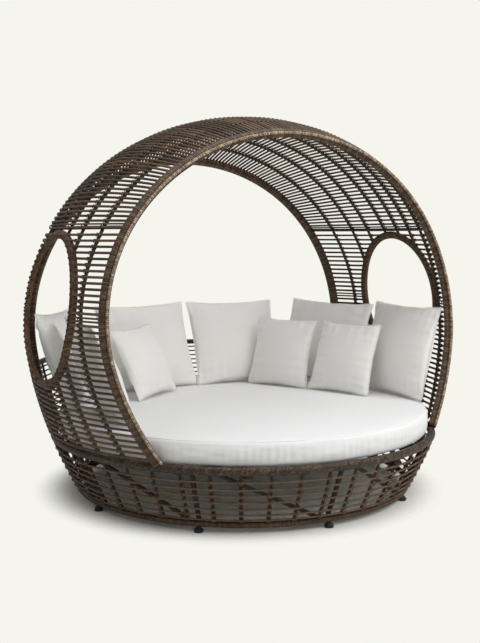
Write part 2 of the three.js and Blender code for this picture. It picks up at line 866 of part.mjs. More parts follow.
function cushionGeometry(width, height, thickness) {
  const cells = cushionCells;
  const positions = [];
  const indices = [];
  const key = new Map();
  const vertex = (column, row, face) => {
    const edge = column === 0 || row === 0 || column === cells || row === cells;
    const name = [column, row, edge ? 0 : face].join();
    if (!key.has(name)) {
      const across = (Math.PI / 2) * ((2 * column) / cells - 1);
      const along = (Math.PI / 2) * ((2 * row) / cells - 1);
      const u = Math.sin(across);
      const v = Math.sin(along);
      const swell = edge ? 0 : (Math.cos(across) * Math.cos(along)) ** (3 / 4);
      key.set(name, positions.length / 3);
      positions.push(
        (width / 2) * u * (1 - cushionDrawShare * (1 - v * v)),
        (face * swell * thickness) / 2,
        (height / 2) * v * (1 - cushionDrawShare * (1 - u * u)),
      );
    }
    return key.get(name);
  };
  for (let column = 0; column < cells; column += 1) {
    for (let row = 0; row < cells; row += 1) {
      for (const face of [-1, 1]) {
        const a = vertex(column, row, face);
        const b = vertex(column + 1, row, face);
        const c = vertex(column + 1, row + 1, face);
        const d = vertex(column, row + 1, face);
        const quad = [a, b, c, a, c, d];
        indices.push(...(face < 0 ? quad : quad.reverse()));
      }
    }
  }
  const geometry = new THREE.BufferGeometry();
  geometry.setAttribute("position", new THREE.Float32BufferAttribute(positions, 3));
  geometry.setIndex(indices);
  geometry.computeVertexNormals();
  return geometry;
}

// Each cushion stands on its lower corners. Place is in shares of the mattress radius;
// facing is the way it looks, in degrees from +X; lean is how far its top tips back.
const cushionPlaces = [
  { name: "cushion_left_front", large: true, placeShares: [-0.868, -0.05], facing: -8, lean: 22 },
  { name: "cushion_left_back", large: true, placeShares: [-0.848, 0.42], facing: -38, lean: 20 },
  { name: "cushion_back_left", large: true, placeShares: [-0.255, 0.69], facing: -88, lean: 22 },
  { name: "cushion_back_right", large: true, placeShares: [0.335, 0.658], facing: -96, lean: 22 },
  { name: "cushion_right_back", large: true, placeShares: [0.826, 0.403], facing: -158, lean: 23 },
  { name: "cushion_right_front", large: true, placeShares: [0.91, -0.228], facing: -182, lean: 14 },
  { name: "small_cushion_left", large: false, placeShares: [-0.39, 0.43], facing: -57, lean: 25.7 },
  { name: "small_cushion_middle", large: false, placeShares: [0.495, 0.345], facing: -155, lean: 18 },
  { name: "small_cushion_right", large: false, placeShares: [0.662, -0.035], facing: -161, lean: 19 },
];

function addCushion(spec) {
  const width = mattressRadius * (spec.large ? largeWidthShare : smallWidthShare);
  const height = width * (spec.large ? largeHeightShare : smallHeightShare);
  const thickness = width * (spec.large ? largeThicknessShare : smallThicknessShare);
  const stand = new THREE.Group();
  stand.position.set(
    spec.placeShares[0] * mattressRadius,
    spec.placeShares[1] * mattressRadius,
    0,
  );
  stand.rotation.z = THREE.MathUtils.degToRad(spec.facing + 90);
  daybed.add(stand);
  const cushion = addPiece(spec.name, cushionGeometry(width, height, thickness), canvas, stand);
  cushion.rotation.x = -THREE.MathUtils.degToRad(spec.lean);
  stand.updateMatrixWorld(true);
  const points = cushion.geometry.attributes.position;
  const heights = Array.from({ length: points.count }, (_, index) => {
    const placed = new THREE.Vector3().fromBufferAttribute(points, index).applyEuler(cushion.rotation);
    stand.localToWorld(placed);
    return mattressTopAt(Math.hypot(placed.x, placed.y)) - placed.z;
  });
  cushion.position.z = Math.max(...heights) + seatGap;
  settle(cushion);
}

// A cushion that reaches past the edge of the mattress comes down until it rests on it
function settle(cushion) {
  for (let step = 0; step < settleSteps; step += 1) {
    cushion.updateWorldMatrix(true, false);
    const placed = cushion.geometry.clone().applyMatrix4(cushion.matrixWorld);
    cushion.position.z -= toSolid(placed).minGap(mattressSolid, largeWidthShare * mattressRadius) - seatGap;
  }
}

addPiece("front_arch", arch(0), wicker);
addPiece("back_arch", arch(1), wicker);
addPiece("front_bead", bead(0), lightWicker);
addPiece("back_bead", bead(1), wicker);
addPiece("left_window_ring", windowRing(-1), wicker);
addPiece("right_window_ring", windowRing(1), wicker);
addPiece("canopy_ribs", toGeometry(ribCage()), wicker);
addPiece("canopy_crown", topPanel(sideSteps + crownStep, allSteps - sideSteps - crownStep), wicker);
for (const [name, side] of [["left", -1], ["right", 1]]) {
  const shoulder =
    side > 0
      ? [sideSteps, sideSteps + crownStep]
      : [allSteps - sideSteps - crownStep, allSteps - sideSteps];
  addPiece(`canopy_${name}_shoulder`, topPanel(shoulder[0], shoulder[1]), wicker);
  addPiece(`canopy_${name}_front`, besidePanel(side, 0), wicker);
  addPiece(`canopy_${name}_back`, besidePanel(side, 1), wicker);
  addPiece(`canopy_${name}_lower`, lowerPanel(side), wicker);
  const besideWindow = wovenRibPlaceShares.filter((share) => !crossesWindow(share));
  besideWindow.forEach((share, rib) => {
    addPiece(`${name}_side_rib_${rib + 1}`, sideRib(side, share), wicker);
  });
}

addPiece(
  "seat_ring",
  levelRing(
    polygonSection(0, rimDiameter / 2, rimDiameter / 2, tubeFacets),
    rimHeight,
    rimDiameter / 2,
    basketRodCount,
  ),
  lightWicker,
);
addPiece("basket_cage", basketCage(), wicker);
basketRingPlaceShares.forEach((share, ring) => {
  addPiece(`basket_ring_${ring + 1}`, basketRing(share), wicker);
});
for (let foot = 0; foot < footCount; foot += 1) {
  addPiece(`brace_${foot + 1}`, brace(foot), frameMetal);
  const pad = addPiece(`foot_${foot + 1}`, footGeometry(), glide);
  pad.position.set(
    footRingRadius * Math.cos(footTurns[foot]),
    footRingRadius * Math.sin(footTurns[foot]),
    0,
  );
}
addPiece("deck_frame", deck(), frameMetal);
addPiece("back_rail", backRail(), wicker);
addPiece("back_rows", backRows(), wicker);
const mattress = addPiece("mattress", mattressGeometry(), canvas);
const mattressSolid = toSolid(mattress.geometry);
cushionPlaces.forEach(addCushion);

// The origin is on the floor under the middle of the whole outline
daybed.updateMatrixWorld(true);
const outline = new THREE.Box3().setFromObject(daybed, true);
daybed.position.y = -(outline.min.y + outline.max.y) / 2;

export default daybed;
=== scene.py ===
import math
from collections import namedtuple

import bpy
import bmesh
import numpy as np
from mathutils import Matrix, Vector


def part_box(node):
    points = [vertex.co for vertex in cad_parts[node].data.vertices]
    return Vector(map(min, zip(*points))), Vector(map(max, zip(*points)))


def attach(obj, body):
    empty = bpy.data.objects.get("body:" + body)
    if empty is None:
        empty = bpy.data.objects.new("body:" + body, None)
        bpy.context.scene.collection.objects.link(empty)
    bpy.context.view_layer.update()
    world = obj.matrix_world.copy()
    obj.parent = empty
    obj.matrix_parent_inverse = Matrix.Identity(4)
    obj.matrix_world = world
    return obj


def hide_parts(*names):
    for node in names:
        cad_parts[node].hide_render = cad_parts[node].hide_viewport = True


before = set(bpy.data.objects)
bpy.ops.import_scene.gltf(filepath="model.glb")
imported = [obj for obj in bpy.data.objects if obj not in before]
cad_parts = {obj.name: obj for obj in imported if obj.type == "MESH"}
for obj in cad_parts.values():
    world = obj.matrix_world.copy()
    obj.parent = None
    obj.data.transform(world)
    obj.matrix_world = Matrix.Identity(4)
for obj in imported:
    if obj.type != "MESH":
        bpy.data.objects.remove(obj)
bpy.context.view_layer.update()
scene = bpy.context.scene

# Sizes in metres, the same as the solids' own

# From the axis of the shell to the middle of the part
SHIFT = np.array([0.0, -0.0482758, 0.0])

# The shell: its greatest radius, the height of that, the reach up and down, and how full each half is
SHELL = 1.150
WIDEST = 0.861
CROWN_RISE = 1.102
LOWER_REACH = 1.581
CROWN_ROUND = 2.03
LOWER_ROUND = 1.667

# Depth of the canopy's two edges over the height above the widest level: start, slope, bend
FRONT_EDGE = (0.552, -0.135, 0.125)
BACK_EDGE = (0.556, 0.0675, 0.0251)

# Seat ring, foot ring and the cross tubes over the windows: heights and tube widths
RIM = 0.317
RIM_TUBE = 0.040
RIM_TOP = RIM + RIM_TUBE / 2
FOOT_RING = 0.040
FOOT_TUBE = 0.030
CROSS = 1.394

# The canopy's edges: wound bead, wound bundle and woven band
BEAD = 0.0136
BEAD_INSET = 0.0032
BEAD_DEPTH = 0.0080
BUNDLE = 0.0405
BUNDLE_INSET = 0.0297
BUNDLE_DEEP = 0.0395
BAND = 0.022
BAND_INSET = 0.0353
BAND_TOP = 0.0012
BAND_UNDER = 0.0092

# Windows
WINDOW_Z = 0.993
WINDOW_HIGH = 0.342
WINDOW_WIDE = 0.301
WINDOW_BAND = 0.044

# Rows: thickness, width and spacing, and the offset and width of each strand of a doubled row
STRAND = 0.0092
STRAND_WIDE = 0.0126
PITCH = 0.027
PAIR_STEP = 0.0078
PAIR_WIDE = 0.0096
ROW_SQUASH = 0.86

# Heights of the lowest row, of the doubled row beside the windows and of the joint between the side panels
FIRST_ROW = RIM_TOP + 0.016
DOUBLED_ROW = 0.98
PANEL_JOINT = 0.574

# Rows from the crown to a cross tube, and the climb at which the crown's panel ends
TOP_STEPS = 45
CROWN_END = 1 / 3

# Ribs as shares of the canopy's depth, rings as shares of the basket's height
RIB_SHARES = [0.122, 0.255, 0.375, 0.49, 0.625, 0.74, 0.87]
RING_SHARES = [0.137, 0.23, 0.335, 0.46, 0.577, 0.69, 0.818]
RING_BASE = 0.025

# Basket rods, and feet with the stout rods over them; the first foot's angle is in degrees
RODS = 46
ROD_END = RIM - 0.021
FEET = 9
FIRST_FOOT = -94.0

# Low back: the rail's height and width, and how far behind the canopy's back edge it begins
BACK_RAIL = 0.654
BACK_RAIL_TUBE = 0.030
BACK_GAP = 0.009

# Mattress
MATTRESS_R = 0.990
MATTRESS_LOW = 0.330
MATTRESS_HIGH = 0.454


# The shell that the weave follows

HALVINGS = 44


def lerp(a, b, t):
    return a + (b - a) * t


def unit(v):
    return v / np.linalg.norm(v, axis=-1, keepdims=True)


def full_turn(count):
    """Evenly spaced angles round a circle."""
    return np.arange(count) / count * 2 * math.pi


def shell_radius(z):
    z = np.asarray(z, float)
    above = z > WIDEST
    share = np.abs(z - WIDEST) / np.where(above, CROWN_RISE, LOWER_REACH)
    power = np.where(above, CROWN_ROUND, LOWER_ROUND)
    return SHELL * (1 - np.minimum(share, 1) ** power) ** (1 / power)


def shell_normal(p):
    above = p[:, 2] > WIDEST
    power = np.where(above, CROWN_ROUND, LOWER_ROUND)
    reach = np.where(above, CROWN_RISE, LOWER_REACH)
    radius = np.maximum(np.hypot(p[:, 0], p[:, 1]), 1e-9)
    side = (radius / SHELL) ** (power - 1) / SHELL
    rise = (np.abs(p[:, 2] - WIDEST) / reach) ** (power - 1) / reach
    rise = np.where(above, rise, -rise)
    return unit(np.stack([side * p[:, 0] / radius, side * p[:, 1] / radius, rise], 1))


def edge_depth(edge, z):
    start, slope, bend = edge
    rise = z - WIDEST
    return start + slope * rise + bend * rise ** 2 / SHELL


def canopy(climb, share, inset):
    """Places on the canopy. climb is 0 at the crown, 1 at the cross tubes and 2 at the seat ring, negative
    on the left; share goes from 0 at the front edge to 1 at the back edge, both moved in by inset."""
    climb, share = np.broadcast_arrays(np.asarray(climb, float), np.asarray(share, float))
    side = np.where(climb < 0, -1.0, 1.0)
    steep = np.abs(climb)

    def depth(z):
        return lerp(-edge_depth(FRONT_EDGE, z) + inset, edge_depth(BACK_EDGE, z) - inset, share)

    z = lerp(CROSS, RIM, steep - 1)
    y = depth(z)
    x = side * np.sqrt(np.maximum(shell_radius(z) ** 2 - y ** 2, 0))
    low_part = np.stack([x, y, z], -1)
    shoulder_x = np.sqrt(shell_radius(CROSS) ** 2 - depth(CROSS) ** 2)
    turn = lerp(math.pi / 2, np.arctan2(CROSS - WIDEST, shoulder_x), steep)
    way_x, way_z = side * np.cos(turn), np.sin(turn)
    low, high = np.zeros_like(turn), np.full_like(turn, 2 * SHELL)
    for _ in range(HALVINGS):
        middle = (low + high) / 2
        height = WIDEST + middle * way_z
        inside = np.hypot(middle * way_x, depth(height)) < shell_radius(height)
        low, high = np.where(inside, middle, low), np.where(inside, high, middle)
    height = WIDEST + low * way_z
    top_part = np.stack([low * way_x, depth(height), height], -1)
    return np.where((steep >= 1)[..., None], low_part, top_part)


def climb_at(z):
    """The climb at this height, on the canopy's sides."""
    return 1 + (CROSS - z) / (CROSS - RIM)


def in_window(p, grow=0.0):
    """Which places lie inside the middle line of a window's ring, grown by this much."""
    return ((p[:, 1] / (WINDOW_WIDE + WINDOW_BAND / 2 + grow)) ** 2
            + ((p[:, 2] - WINDOW_Z) / (WINDOW_HIGH + WINDOW_BAND / 2 + grow)) ** 2) < 1


def window_gap(p):
    """About how far each place lies outside the middle line of its window's ring."""
    wide, high = WINDOW_WIDE + WINDOW_BAND / 2, WINDOW_HIGH + WINDOW_BAND / 2
    return (np.hypot(p[:, 1] / wide, (p[:, 2] - WINDOW_Z) / high) - 1) * wide


def outwards(p):
    return unit(p * [1, 1, 0])


# Lines

def runs(keep):
    """The unbroken stretches of a mask, as (first, last + 1)."""
    edges = np.flatnonzero(np.diff(np.concatenate([[0], keep.astype(int), [0]])))
    return [(a, b) for a, b in zip(edges[::2], edges[1::2]) if b - a > 2]


def closed_up(p, closed=True):
    return np.vstack([p, p[:1]]) if closed else p


def distances(p):
    """How far along the line each of its places lies."""
    return np.concatenate([[0], np.cumsum(np.linalg.norm(np.diff(p, axis=0), axis=1))])


def resample(p, count, closed=False):
    q = closed_up(p, closed)
    length = distances(q)
    at = np.linspace(0, length[-1], count + 1 if closed else count)
    out = np.stack([np.interp(at, length, q[:, k]) for k in range(3)], 1)
    return out[:-1] if closed else out


def spaced(p, step, least=4, closed=False):
    """The same line with places about a step apart."""
    length = float(np.linalg.norm(np.diff(closed_up(p, closed), axis=0), axis=1).sum())
    return resample(p, max(least, int(length / step)), closed)


def tangents(path, closed):
    return unit(np.roll(path, -1, 0) - np.roll(path, 1, 0) if closed else np.gradient(path, axis=0))


# Mesh making

class Weave:
    """Collects swept strands into one mesh, with a UV map in metres: along, and round, the strand."""

    def __init__(self):
        self.verts, self.faces, self.uvs, self.count = [], [], [], 0

    def add(self, verts, faces, uvs):
        self.verts.append(verts)
        self.faces += [tuple(self.count + k for k in face) for face in faces]
        self.uvs += uvs
        self.count += len(verts)

    def sweep(self, path, normals, profile, closed=False):
        """profile: rows of (outwards, sideways) round the section, in metres, one set or one per place."""
        n = len(path)
        tangent = tangents(path, closed)
        out = unit(normals - tangent * (normals * tangent).sum(1, keepdims=True))
        side = np.cross(tangent, out)
        profile = np.asarray(profile, float)
        if profile.ndim == 2:
            profile = np.broadcast_to(profile, (n, *profile.shape))
        k = profile.shape[1]
        verts = path[:, None] + out[:, None] * profile[..., :1] + side[:, None] * profile[..., 1:]
        along = distances(closed_up(path, closed))
        around = distances(closed_up(profile[0]))
        faces, uvs = [], []
        for i in range(n if closed else n - 1):
            j = (i + 1) % n
            for m in range(k):
                w = (m + 1) % k
                faces.append((i * k + m, i * k + w, j * k + w, j * k + m))
                uvs.append([(along[i], around[m]), (along[i], around[m + 1]),
                            (along[i + 1], around[m + 1]), (along[i + 1], around[m])])
        if not closed:
            for end, way in ((0, -1), (n - 1, 1)):
                faces.append(tuple(end * k + m for m in range(k))[::way])
                uvs.append([(along[end], around[m]) for m in range(k)][::way])
        self.add(verts.reshape(-1, 3), faces, uvs)

    def piece(self, name, material, replaces=(), slot="wicker", body="daybed", shift=SHIFT):
        mesh = bpy.data.meshes.new(name)
        verts = np.vstack(self.verts) + shift
        mesh.from_pydata(verts.tolist(), [], self.faces)
        uv = mesh.uv_layers.new(name="Wrap")
        uv.data.foreach_set("uv", np.array([c for face in self.uvs for c in face], np.float32).ravel())
        mesh.polygons.foreach_set("use_smooth", [True] * len(mesh.polygons))
        mesh.materials.append(material)
        mesh.update()
        obj = bpy.data.objects.new(name, mesh)
        scene.collection.objects.link(obj)
        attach(obj, body)
        if replaces:
            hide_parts(*replaces)
        return obj


def tube(name, look, node, path, normals, section, slot="wicker", closed=False):
    """One swept strand as a piece of its own."""
    weave = Weave()
    weave.sweep(path, normals, section, closed)
    weave.piece(name, look, [node], slot)


def circle(radius, sides, depth=0.0, squash=1.0):
    """A round section whose middle lies this deep below the path."""
    turn = full_turn(sides)
    return np.stack([-depth + radius * squash * np.cos(turn), radius * np.sin(turn)], 1)


def rounded(depth_out, depth_in, width, corner, cuts=3):
    """A rounded bar section between two depths below the path."""
    points = []
    high, low, half = -depth_out, -depth_in, width / 2
    corner = min(corner, (high - low) / 2 * 0.999, half * 0.999)
    for cx, cy, begin in ((high - corner, half - corner, 0), (low + corner, half - corner, 90),
                          (low + corner, -half + corner, 180), (high - corner, -half + corner, 270)):
        for cut in range(cuts + 1):
            turn = math.radians(begin + 90 * cut / cuts)
            points.append((cx + corner * math.cos(turn), cy + corner * math.sin(turn)))
    return np.array(points)


# Size of a lashing: how deep its middle lies, how far it reaches, rises and drops, its width and thickness
Lash = namedtuple("Lash", "depth reach lift drop width thick")
CANOPY_LASH = Lash(0.0120, 0.0120, 0.0134, 0.0130, 0.0058, 0.0028)
BASKET_LASH = Lash(0.0098, 0.0128, 0.0120, 0.0100, 0.0060, 0.0028)
BACK_LASH = Lash(0.0098, 0.0124, 0.0114, 0.0100, 0.0060, 0.0026)


def lash(weave, crossing, out, diagonal, size):
    """A flat wrap round a crossing: over the outside along the diagonal, and back behind it."""
    diagonal = unit(diagonal)
    turn = full_turn(9)
    high = np.where(np.cos(turn) > 0, size.lift, size.drop)
    centre = crossing - out * size.depth
    path = centre + diagonal * (size.reach * np.sin(turn))[:, None] + out * (high * np.cos(turn))[:, None]
    ring_out = diagonal * np.sin(turn)[:, None] + out * np.cos(turn)[:, None]
    half = size.width / 2
    profile = [(size.thick, 0), (size.thick * 0.5, half), (-size.thick * 0.3, 0), (size.thick * 0.5, -half)]
    weave.sweep(path, ring_out, profile, closed=True)


# Materials

class Nodes:
    """A material in the making."""

    def __init__(self, name):
        self.material = bpy.data.materials.new(name)
        self.material.use_nodes = True
        self.tree = self.material.node_tree
        self.shader = self.tree.nodes["Principled BSDF"]

    def node(self, kind, inputs=(), **settings):
        made = self.tree.nodes.new(kind)
        for key, value in settings.items():
            setattr(made, key, value)
        for key, value in dict(inputs).items():
            self.put(made.inputs[key], value)
        return made

    def put(self, socket, value):
        if isinstance(value, bpy.types.NodeSocket):
            self.tree.links.new(value, socket)
        else:
            socket.default_value = value

    def set(self, **values):
        """Inputs of the shader, with a low line for each space in their names."""
        for key, value in values.items():
            self.put(self.shader.inputs[key.replace("_", " ")], value)

    def math(self, operation, a, b=0.0):
        return self.node("ShaderNodeMath", {0: a, 1: b}, operation=operation).outputs[0]

    def weighted(self, *parts):
        """The sum of (value, weight) parts."""
        total = None
        for value, weight in parts:
            term = self.math("MULTIPLY", value, weight)
            total = term if total is None else self.math("ADD", total, term)
        return total

    def vector(self, *parts):
        return self.node("ShaderNodeCombineXYZ", dict(enumerate(parts))).outputs[0]

    def noise(self, vector, scale, detail=2.0, rough=0.5):
        inputs = {"Vector": vector, "Scale": scale, "Detail": detail, "Roughness": rough}
        return self.node("ShaderNodeTexNoise", inputs).outputs["Fac"]

    def ramp(self, factor, *stops):
        made = self.node("ShaderNodeValToRGB", {"Fac": factor})
        ramp = made.color_ramp
        while len(ramp.elements) < len(stops):
            ramp.elements.new(0.5)
        for element, (place, tone) in zip(ramp.elements, stops):
            element.position = place
            element.color = (*tone, 1)
        return made.outputs["Color"]

    def multiplied(self, a, b):
        made = self.node("ShaderNodeMix", data_type="RGBA", blend_type="MULTIPLY")
        for socket, value in ((0, 1.0), (6, a), (7, b)):
            self.put(made.inputs[socket], value)
        return made.outputs[2]

    def bump(self, height, distance, strength=1.0):
        inputs = {"Height": height, "Distance": distance, "Strength": strength}
        self.set(Normal=self.node("ShaderNodeBump", inputs).outputs["Normal"])

    def wrap(self):
        """The UV map in metres, whole and as its two parts."""
        uv = self.node("ShaderNodeUVMap", uv_map="Wrap").outputs[0]
        return uv, *self.node("ShaderNodeSeparateXYZ", {0: uv}).outputs[:2]

    def place(self):
        return self.node("ShaderNodeTexCoord").outputs["Object"]


def colour(red, green, blue):
    """A display colour, 0 to 255, as the linear one that nodes take."""
    def linear(value):
        value /= 255
        return value / 12.92 if value <= 0.04045 else ((value + 0.055) / 1.055) ** 2.4
    return (linear(red), linear(green), linear(blue))


# Painted shade over a wound turn, from groove to groove: darkest in the grooves, none over the turn's middle
GROOVE_PAINTED_SHADE = (0.12,) * 3
TURN_UNSHADED = (1.0,) * 3


def wicker(name, dark, base, light, pitch=None, slant=0.0, groove=0.0011, fleck=0.0):
    """Round synthetic strand. With a pitch it is wound: turns of that width that lean by slant, with grooves
    of that depth between them, darkened by painted shade. The spots of other tones grow with fleck."""
    n = Nodes(name)
    dark, base, light = colour(*dark), colour(*base), colour(*light)
    _, u, v = n.wrap()
    place = n.place()
    island = n.node("ShaderNodeNewGeometry").outputs["Random Per Island"]
    patches = n.noise(place, 16.0, 3.0, 0.6)
    if pitch:
        phase = n.math("DIVIDE", n.math("ADD", u, n.math("MULTIPLY", v, slant)), pitch)
        share = n.math("FRACT", phase)
        seed = n.vector(n.math("FLOOR", phase), island)
        vary = n.node("ShaderNodeTexWhiteNoise", {"Vector": seed}).outputs["Value"]
        stretched = n.vector(n.math("MULTIPLY", phase, 2.2), n.math("MULTIPLY", v, 240.0))
        grain = n.noise(stretched, 1.0, 2.0, 0.7)
        mixed = n.weighted((vary, 0.22), (grain, 0.62), (patches, 0.2))
        if fleck:
            spots = n.math("SUBTRACT", n.noise(place, 150.0, 1.0, 0.5), 0.5)
            mixed = n.math("ADD", mixed, n.math("MULTIPLY", spots, fleck))
        tone = n.ramp(mixed, (0.32, dark), (0.52, base), (0.74, light))
        # Painted shade: each turn is darkest at the grooves on either side of it
        shade = n.ramp(share, (0.0, GROOVE_PAINTED_SHADE), (0.25, TURN_UNSHADED), (0.75, TURN_UNSHADED), (1.0, GROOVE_PAINTED_SHADE))
        tone = n.multiplied(tone, shade)
        hump = n.math("SINE", n.math("MULTIPLY", share, math.pi))
        n.bump(n.math("ADD", n.math("POWER", hump, 0.6), n.math("MULTIPLY", grain, 0.15)), groove)
    else:
        stretched = n.vector(n.math("MULTIPLY", u, 26.0), n.math("MULTIPLY", v, 500.0),
                             n.math("MULTIPLY", island, 40.0))
        grain = n.noise(stretched, 1.0, 3.0, 0.65)
        mixed = n.weighted((island, 0.3), (grain, 0.5), (patches, 0.3))
        tone = n.ramp(mixed, (0.3, dark), (0.55, base), (0.85, light))
        n.bump(grain, 0.0004)
    rough = n.math("ADD", n.math("MULTIPLY", grain, 0.25), 0.36)
    n.set(Base_Color=tone, Roughness=rough, Specular_IOR_Level=0.36)
    return n.material


THREAD = 0.0016


def fabric(name, tint):
    """Outdoor canvas: threads, slubs, faint clouds of tone and small creases."""
    n = Nodes(name)
    tint = colour(*tint)
    low = tuple(value * 0.93 for value in tint)
    uv, u, v = n.wrap()
    thread = 2 * math.pi / THREAD
    warp = n.math("SINE", n.math("MULTIPLY", u, thread))
    weft = n.math("SINE", n.math("MULTIPLY", v, thread))
    cross = n.math("MULTIPLY", warp, weft)
    place = n.place()
    slub = n.noise(uv, 260.0, 2.0, 0.6)
    cloud = n.noise(place, 4.0, 3.0, 0.5)
    creases = n.noise(place, 38.0, 4.0, 0.6)
    tone = n.ramp(n.weighted((slub, 0.5), (cloud, 0.5)), (0.3, low), (0.7, tint))
    n.bump(n.weighted((cross, 0.25), (creases, 1.4)), 0.0007, 0.5)
    n.set(Base_Color=tone, Roughness=0.9, Specular_IOR_Level=0.2, Sheen_Weight=0.15, Sheen_Roughness=0.5)
    return n.material


def coated(name, base, rough, scale):
    """Powder-coated metal or moulded rubber: fine orange-peel and slight wear."""
    n = Nodes(name)
    base = colour(*base)
    light = tuple(min(value * 1.5 + 0.004, 1) for value in base)
    place = n.place()
    peel = n.noise(place, scale, 2.0, 0.5)
    cloud = n.noise(place, 14.0, 4.0, 0.6)
    rough = n.math("ADD", n.math("MULTIPLY", cloud, 0.2), rough)
    n.set(Base_Color=n.ramp(cloud, (0.35, base), (0.75, light)), Roughness=rough)
    n.bump(peel, 0.0003, 0.6)
    return n.material


strand_look = wicker("strand", (44, 32, 23), (82, 63, 47), (128, 102, 78))
lash_look = wicker("lashing", (44, 32, 24), (78, 59, 44), (122, 96, 73), pitch=0.0045)
cross_look = wicker("base_lashing", (66, 47, 34), (112, 84, 62), (158, 124, 96), pitch=0.0045)
knot_look = wicker("row_knot", (34, 25, 19), (62, 46, 34), (98, 76, 57), pitch=0.004)
band_look = wicker("band", (40, 29, 21), (72, 53, 39), (108, 83, 62), pitch=0.0065, slant=0.6)
bundle_look = wicker("wound_edge", (44, 31, 22), (82, 62, 44), (144, 114, 82),
                     pitch=0.0086, groove=0.0016, fleck=0.35)
# The bead's pale tan tones are a painted highlight along the rounded front edge of the canopy
front_bead_highlight_look = wicker("wound_bead_painted_highlight", (96, 76, 58), (150, 126, 100), (226, 206, 178),
                   pitch=0.0086, groove=0.0016, fleck=0.6)
ring_wrap_look = wicker("window_wrap", (52, 37, 25), (98, 73, 49), (150, 117, 82), pitch=0.0060)
rim_look = wicker("wound_rim", (24, 18, 13), (50, 38, 27), (118, 93, 66),
                  pitch=0.0055, slant=0.5, fleck=1.0)
foot_ring_look = wicker("wound_foot_ring", (46, 33, 24), (78, 58, 41), (124, 96, 70),
                        pitch=0.0055, fleck=0.8)
rib_look = wicker("wound_rib", (36, 27, 20), (64, 48, 36), (100, 78, 60), pitch=0.006, slant=0.9)
ring_look = wicker("ring_strand", (58, 44, 32), (106, 84, 63), (156, 129, 101))
frame_look = coated("frame_coat", (40, 34, 29), 0.5, 900.0)
glide_look = coated("glide_rubber", (22, 22, 22), 0.5, 1200.0)
mattress_look = fabric("mattress_fabric", (240, 240, 240))
cushion_look = fabric("cushion_fabric", (241, 240, 236))


# Canopy rows and bands

SEAT_CLIMB = climb_at(RIM_TOP)
JOINT_CLIMB = climb_at(PANEL_JOINT)
SIDE_ROWS = [climb_at(z) for z in np.arange(FIRST_ROW, CROSS - 0.008, PITCH)]
SIDE_ROWS[-1] = 1.0
DOUBLED = [min(SIDE_ROWS, key=lambda c: abs(c - climb_at(z))) for z in (DOUBLED_ROW, CROSS)]
TOP_ROWS = [k / TOP_STEPS for k in range(1 - TOP_STEPS, TOP_STEPS)]
LOWER_ROWS = [c for c in SIDE_ROWS if c > JOINT_CLIMB]
BESIDE_ROWS = [c for c in SIDE_ROWS if c <= JOINT_CLIMB]

# A row swells where it ends at a window: places as shares of its last step, and the radius at each
KNOT_PLACES = np.array([[0.0], [0.12], [0.24], [0.30]])
KNOT_RADII = np.array([0.0066, 0.0082, 0.0074, 0.0056])[:, None, None]

# A row runs this far into a window's ring; over the ring it rises by the lift, beginning at the reach
ROW_OVERLAP = 0.012
WINDOW_LIFT = 0.0052
LIFT_REACH = 0.030

# Distance between the places of a swept row or rib, and of a band
ROW_STEP = 0.03
BAND_STEP = 0.025


def row_knot(knots, end, inwards):
    path = end + inwards * KNOT_PLACES
    knots.sweep(path, shell_normal(path), circle(1.0, 8)[None] * KNOT_RADII + [[[-STRAND / 2, 0]]])


def strands(weave, knots, climbs, shares):
    """Rows from front band to back band, broken at the windows and knotted there."""
    share = np.linspace(*shares, 121)
    single, pair = ((0.0, STRAND_WIDE),), ((-PAIR_STEP, PAIR_WIDE), (PAIR_STEP, PAIR_WIDE))
    for climb in climbs:
        beside = abs(climb) > 1
        doubled = min(abs(abs(climb) - place) for place in DOUBLED) < 1e-6
        for step, wide in pair if doubled else single:
            p = canopy(climb + step / (CROSS - RIM), share, BAND_INSET)
            keep = ~in_window(p, -ROW_OVERLAP) if beside else np.ones(len(p), bool)
            for a, b in runs(keep):
                part = spaced(p[a:b], ROW_STEP)
                if beside:
                    lift = WINDOW_LIFT * np.clip(1 - window_gap(part) / LIFT_REACH, 0, 1)
                    part = part + shell_normal(part) * lift[:, None]
                weave.sweep(part, shell_normal(part), circle(wide / 2, 8, STRAND / 2, ROW_SQUASH))
                if a > 0:
                    row_knot(knots, part[0], part[1] - part[0])
                if b < len(p):
                    row_knot(knots, part[-1], part[-2] - part[-1])


def band(weave, first, last, edge):
    """The woven edge of the canopy: a rounded ribbon, under the wraps of the bundle."""
    path = spaced(canopy(np.linspace(first, last, 160), edge, BAND_INSET), BAND_STEP, least=8)
    weave.sweep(path, shell_normal(path), rounded(BAND_TOP, BAND_UNDER, BAND, 0.003))


def mirrored(rows):
    return [-c for c in rows]


# Each panel: its rows, its shares of the depth, and where its bands begin and end
PANELS = {
    "crown": ([c for c in TOP_ROWS if abs(c) < CROWN_END], (0, 1), (CROWN_END, -CROWN_END)),
    "right_shoulder": ([c for c in TOP_ROWS if c >= CROWN_END], (0, 1), (1, CROWN_END)),
    "left_shoulder": ([c for c in TOP_ROWS if c <= -CROWN_END], (0, 1), (-CROWN_END, -1)),
    "right_front": (BESIDE_ROWS, (0, 0.5), (JOINT_CLIMB, 1)),
    "right_back": (BESIDE_ROWS, (0.5, 1), (JOINT_CLIMB, 1)),
    "left_front": (mirrored(BESIDE_ROWS), (0, 0.5), (-1, -JOINT_CLIMB)),
    "left_back": (mirrored(BESIDE_ROWS), (0.5, 1), (-1, -JOINT_CLIMB)),
    "right_lower": (LOWER_ROWS, (0, 1), (SEAT_CLIMB, JOINT_CLIMB)),
    "left_lower": (mirrored(LOWER_ROWS), (0, 1), (-JOINT_CLIMB, -SEAT_CLIMB)),
}

